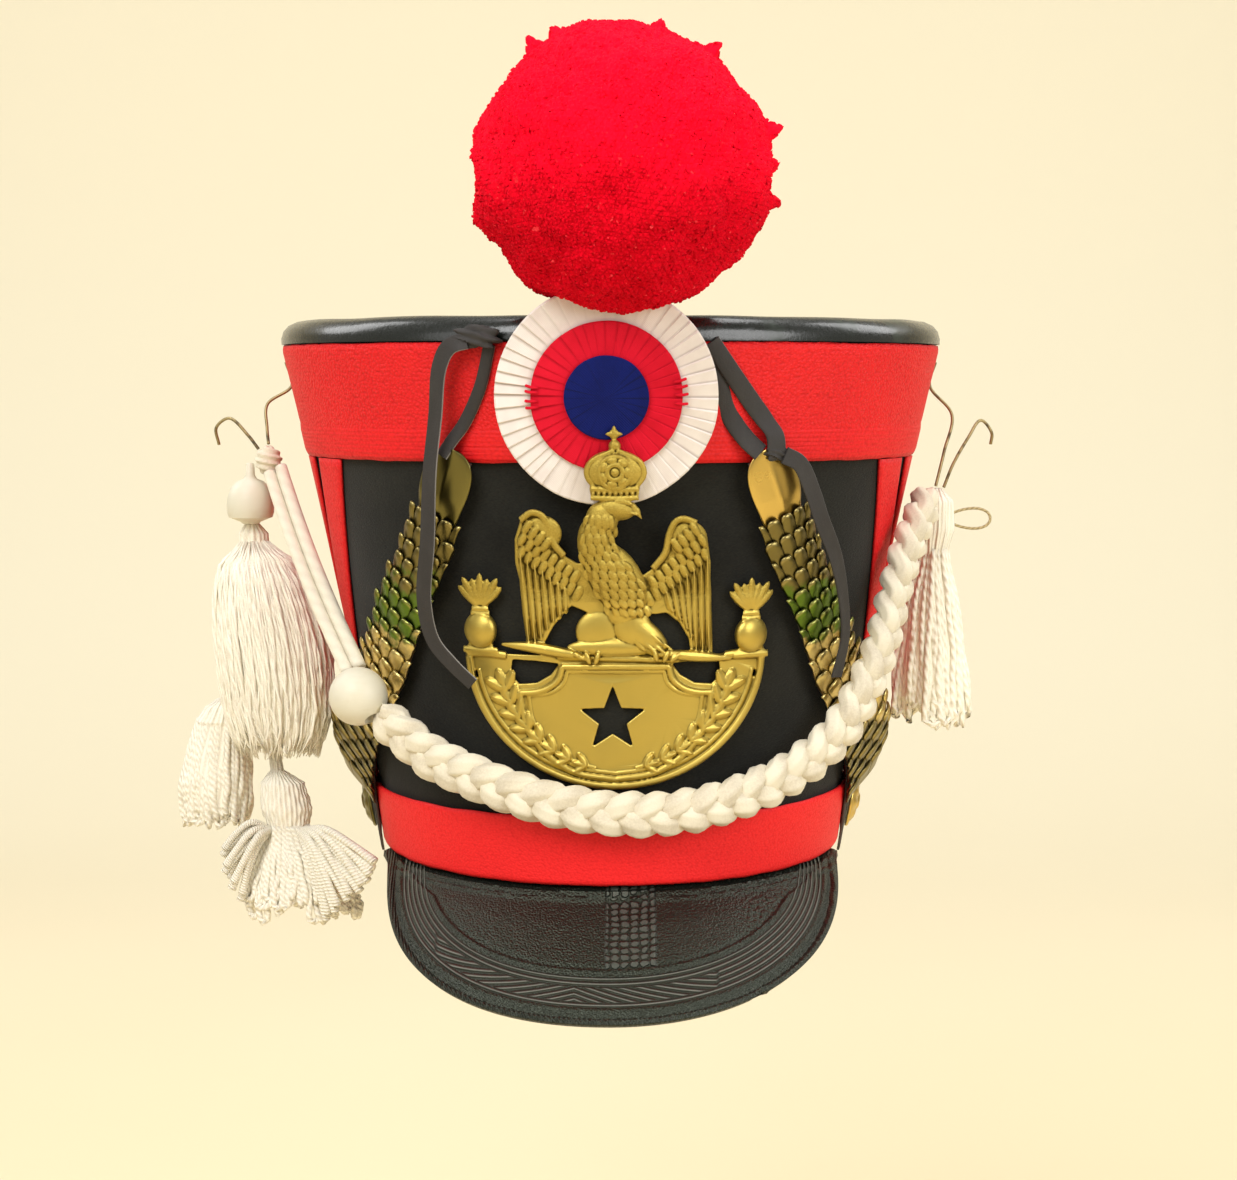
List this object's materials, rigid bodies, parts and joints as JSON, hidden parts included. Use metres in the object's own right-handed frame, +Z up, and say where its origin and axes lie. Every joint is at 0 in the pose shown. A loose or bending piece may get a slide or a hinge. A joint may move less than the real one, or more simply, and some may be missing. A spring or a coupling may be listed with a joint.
{
  "type": "shako hat",
  "caption": "Flared felt military dress cap with leather top and peak, brass eagle plate, cockade, wool pompom, chin scales and a plaited white cord with tassels.",
  "frame": {"origin": "centre of the oval rim where the hat sits on a head", "axes": "+Z up out of the top of the hat, -Y out of the front with the plate and peak, +X towards the right of the front view"},
  "size_m": [0.3203, 0.3044, 0.3364],
  "materials": {
    "black_felt": "matte pressed felt",
    "red_leather": "grained, semi-matte",
    "top_leather": "glossy",
    "peak_leather": "pebbled, semi-gloss",
    "cockade_white": "pleated cloth",
    "cockade_red": "pleated cloth",
    "cockade_blue": "woven cloth",
    "red_wool": "fuzzy wool",
    "wire": "dull wire",
    "brass": "stamped, polished and stippled",
    "strap_leather": "dull",
    "tie_leather": "dull, soft",
    "white_cotton": "plaited and twisted yarn",
    "bead": "painted, satin"
  },
  "bodies": {
    "root": {"crown_body": "black_felt", "upper_band": "red_leather", "lower_band": "red_leather", "crown_top": "top_leather", "peak": "peak_leather", "cockade_white": "cockade_white", "cockade_red": "cockade_red", "cockade_blue": "cockade_blue", "pompom": "red_wool", "pompom_stem": "wire", "front_plate": "brass", "chevron_outer_left": "red_leather", "chevron_inner_left": "red_leather", "chin_strap_left": "strap_leather", "chin_boss_left": "brass", "chin_scale_left_1": "brass", "chin_scale_left_2": "brass", "chin_scale_left_3": "brass", "chin_scale_left_4": "brass", "chin_scale_left_5": "brass", "chin_scale_left_6": "brass", "chin_scale_left_7": "brass", "chin_scale_left_8": "brass", "chin_scale_left_9": "brass", "chin_tongue_left": "brass", "tie_left": "tie_leather", "tie_tail_left": "tie_leather", "hanger_left": "wire", "hook_left": "wire", "chevron_outer_right": "red_leather", "chevron_inner_right": "red_leather", "chin_strap_right": "strap_leather", "chin_boss_right": "brass", "chin_scale_right_1": "brass", "chin_scale_right_2": "brass", "chin_scale_right_3": "brass", "chin_scale_right_4": "brass", "chin_scale_right_5": "brass", "chin_scale_right_6": "brass", "chin_scale_right_7": "brass", "chin_scale_right_8": "brass", "chin_scale_right_9": "brass", "chin_tongue_right": "brass", "tie_right": "tie_leather", "tie_tail_right": "tie_leather", "hanger_right": "wire", "hook_right": "wire", "braid_front": "white_cotton", "cord_left_front": "white_cotton", "cord_left_rear": "white_cotton", "cord_knot_left": "white_cotton", "tassel_left_big": "white_cotton", "tassel_left_side": "white_cotton", "tassel_left_low": "white_cotton", "tassel_right": "white_cotton", "thread_loop_right": "white_cotton", "slide_bead": "bead", "bell_bead": "bead"}
  },
  "joints": []
}
